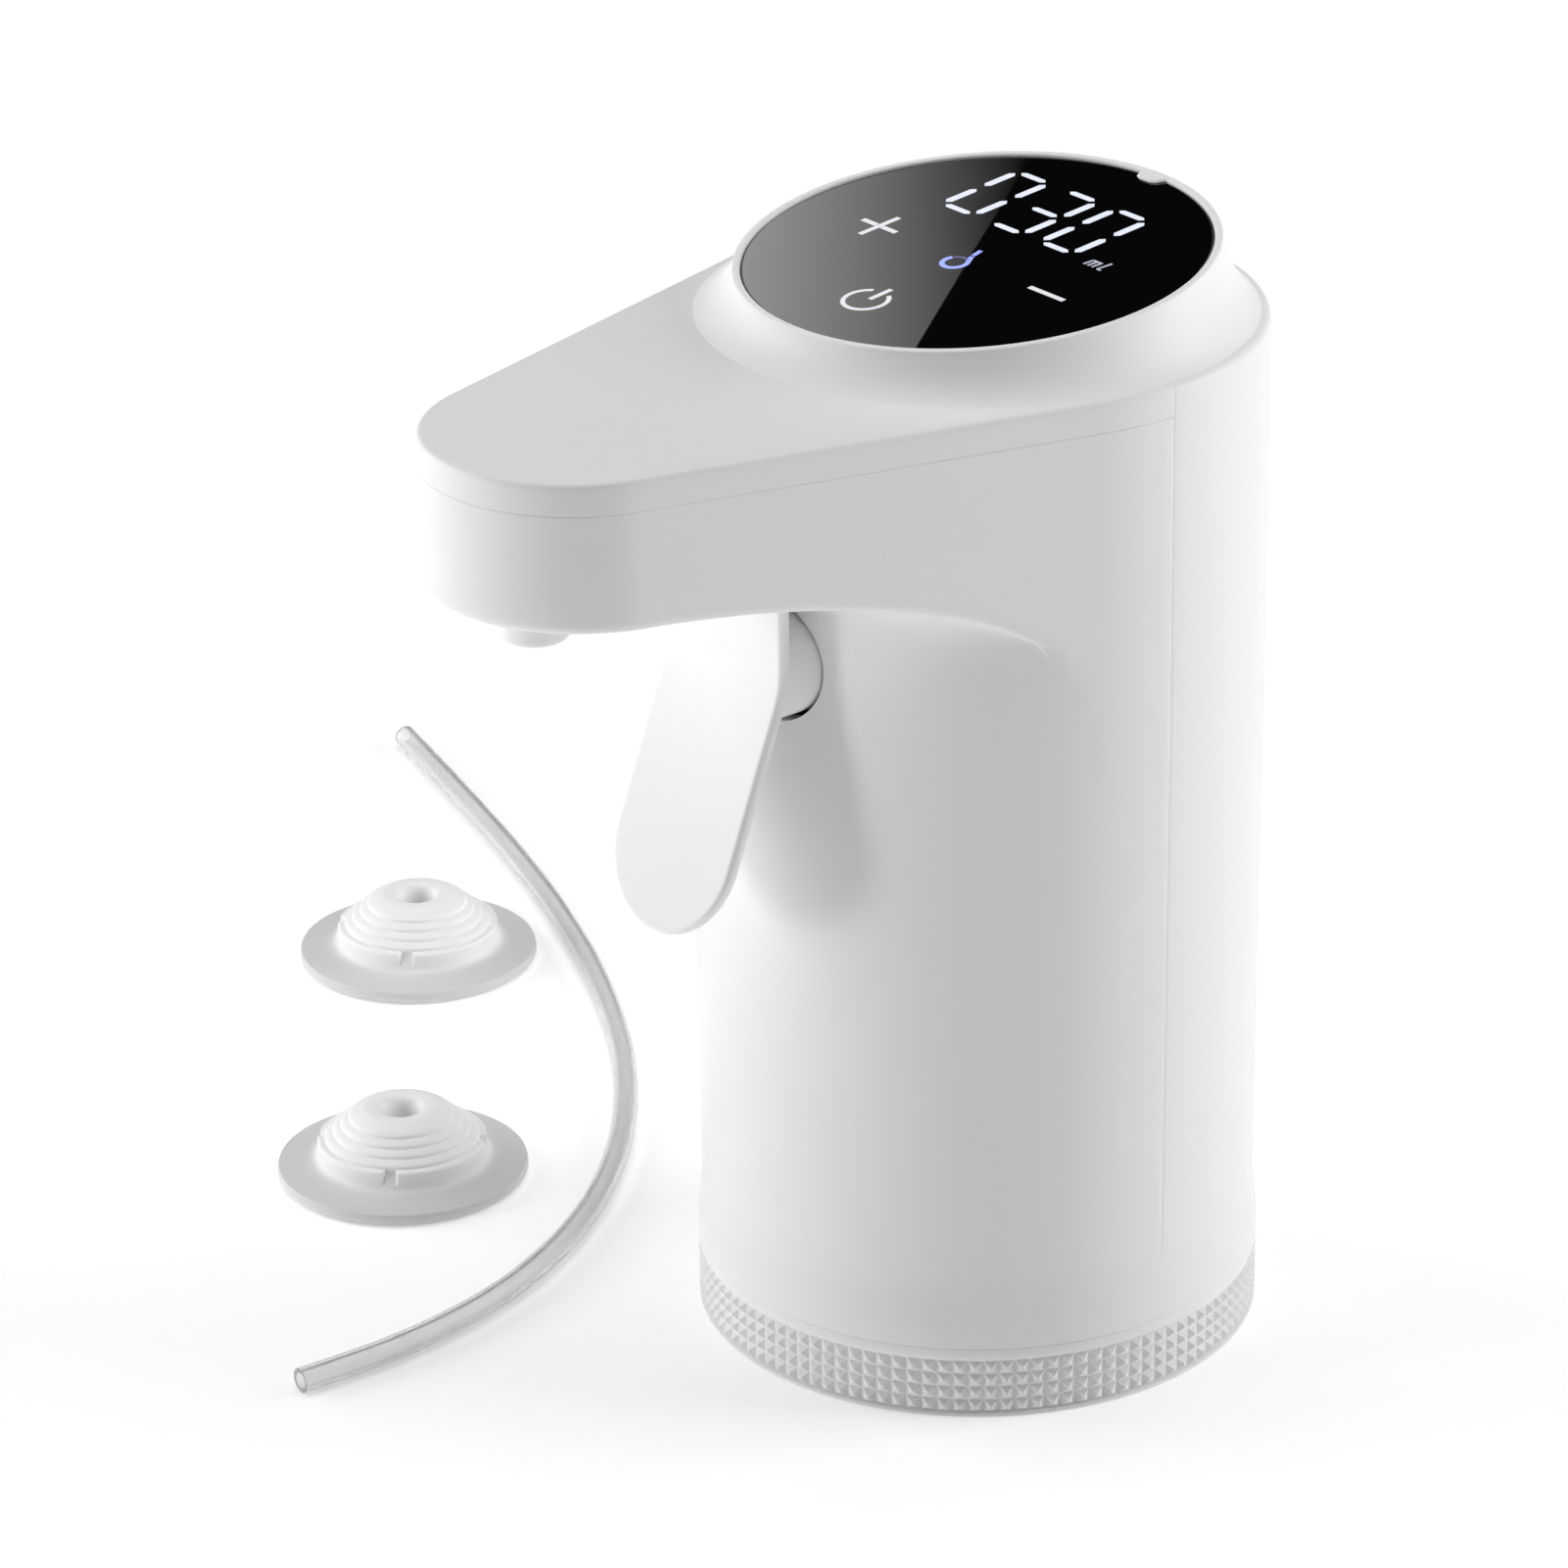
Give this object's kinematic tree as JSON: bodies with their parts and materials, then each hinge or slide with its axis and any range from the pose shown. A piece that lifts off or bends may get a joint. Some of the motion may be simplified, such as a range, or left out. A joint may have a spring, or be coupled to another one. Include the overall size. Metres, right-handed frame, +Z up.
{
  "type": "electric wine dispenser",
  "caption": "White electric wine dispenser head with a round touch display, a spout arm, a trigger and a knurled lock ring, with two loose stoppers and a suction tube.",
  "frame": {"origin": "centre of the lock ring's opening at the foot, on the floor", "axes": "+Z up along the body's axis, -Y towards the spout, +X to the spout's left seen from behind it"},
  "size_m": [0.1866, 0.1107, 0.1212],
  "materials": {
    "white_plastic": "satin white",
    "black_panel": "gloss black",
    "natural_plastic": "plain moulded",
    "circuit_board": "green solder mask",
    "silicone": "translucent pale",
    "clear_tube": "clear silicone",
    "steel": "bright",
    "motor_can": "drawn can",
    "black_rubber": "matte",
    "gear_plastic": "moulded acetal",
    "black_plastic": "matte",
    "red_plastic": "moulded",
    "cell_wrap": "shrink film"
  },
  "bodies": {
    "head": {"front_shell": "white_plastic", "rear_shell": "white_plastic", "top_cover": "white_plastic", "display_bezel": "white_plastic", "display_panel": "black_panel", "light_guide": "natural_plastic", "display_board": "circuit_board", "foot_collar": "white_plastic", "socket_seal": "silicone", "inlet_fitting": "natural_plastic", "inlet_hose": "silicone", "inner_frame": "natural_plastic", "foot_screws": "steel", "pump_housing": "natural_plastic", "pump_cover": "natural_plastic", "shaft_seal": "black_rubber", "idler_pin": "steel", "pump_screws": "steel", "motor": "motor_can", "motor_clamp": "black_plastic", "clamp_screws": "steel", "battery_cell": "cell_wrap", "main_board": "circuit_board", "board_screws": "steel", "switch_body": "black_plastic", "trigger_pin": "steel", "trigger_spring": "steel", "outlet_hose": "silicone", "nozzle": "white_plastic", "charge_board": "circuit_board", "charge_socket": "steel"},
    "trigger": {"trigger": "white_plastic"},
    "switch_plunger": {"switch_plunger": "red_plastic"},
    "lock_ring": {"lock_ring": "white_plastic"},
    "pump_rotor": {"drive_gear": "gear_plastic", "motor_shaft": "steel"},
    "pump_idler": {"idler_gear": "gear_plastic"},
    "stopper_a": {"stopper_a": "silicone"},
    "stopper_b": {"stopper_b": "silicone"},
    "suction_tube": {"suction_tube": "clear_tube"}
  },
  "joints": [
    {"name": "trigger_pull", "type": "hinge", "parent": "head", "child": "trigger", "pos_m": [0, -0.028, 0.1], "axis": [1, 0, 0], "range_deg": [0, 5], "stiffness_Nm_per_rad": 0.1, "springref_deg": -11.46, "deforming": ["trigger_spring"]},
    {"name": "switch_press", "type": "slide", "parent": "head", "child": "switch_plunger", "axis": [0, 1, 0], "range_m": [0, 0.0015]},
    {"name": "lock_turn", "type": "hinge", "parent": "head", "child": "lock_ring", "pos_m": [0, 0, 0.004], "axis": [0, 0, 1], "range_deg": [0, 40]},
    {"name": "pump_spin", "type": "hinge", "parent": "head", "child": "pump_rotor", "pos_m": [-0.0048, -0.0045, 0.03], "axis": [0, 0, 1], "continuous": true},
    {"name": "idler_spin", "type": "hinge", "parent": "head", "child": "pump_idler", "pos_m": [0.0048, -0.0045, 0.03], "axis": [0, 0, 1], "continuous": true},
    {"name": "stopper_a_lift", "type": "slide", "parent": "head", "child": "stopper_a", "axis": [0, 0, 1], "range_m": [0, 0.03]},
    {"name": "stopper_b_lift", "type": "slide", "parent": "head", "child": "stopper_b", "axis": [0, 0, 1], "range_m": [0, 0.03]},
    {"name": "tube_lift", "type": "slide", "parent": "head", "child": "suction_tube", "axis": [0, 0, 1], "range_m": [0, 0.03]}
  ],
  "couplings": [
    {"joint": "switch_press", "follows": "trigger_pull", "m_per_rad": 0.0171},
    {"joint": "idler_spin", "follows": "pump_spin", "ratio": -1}
  ]
}
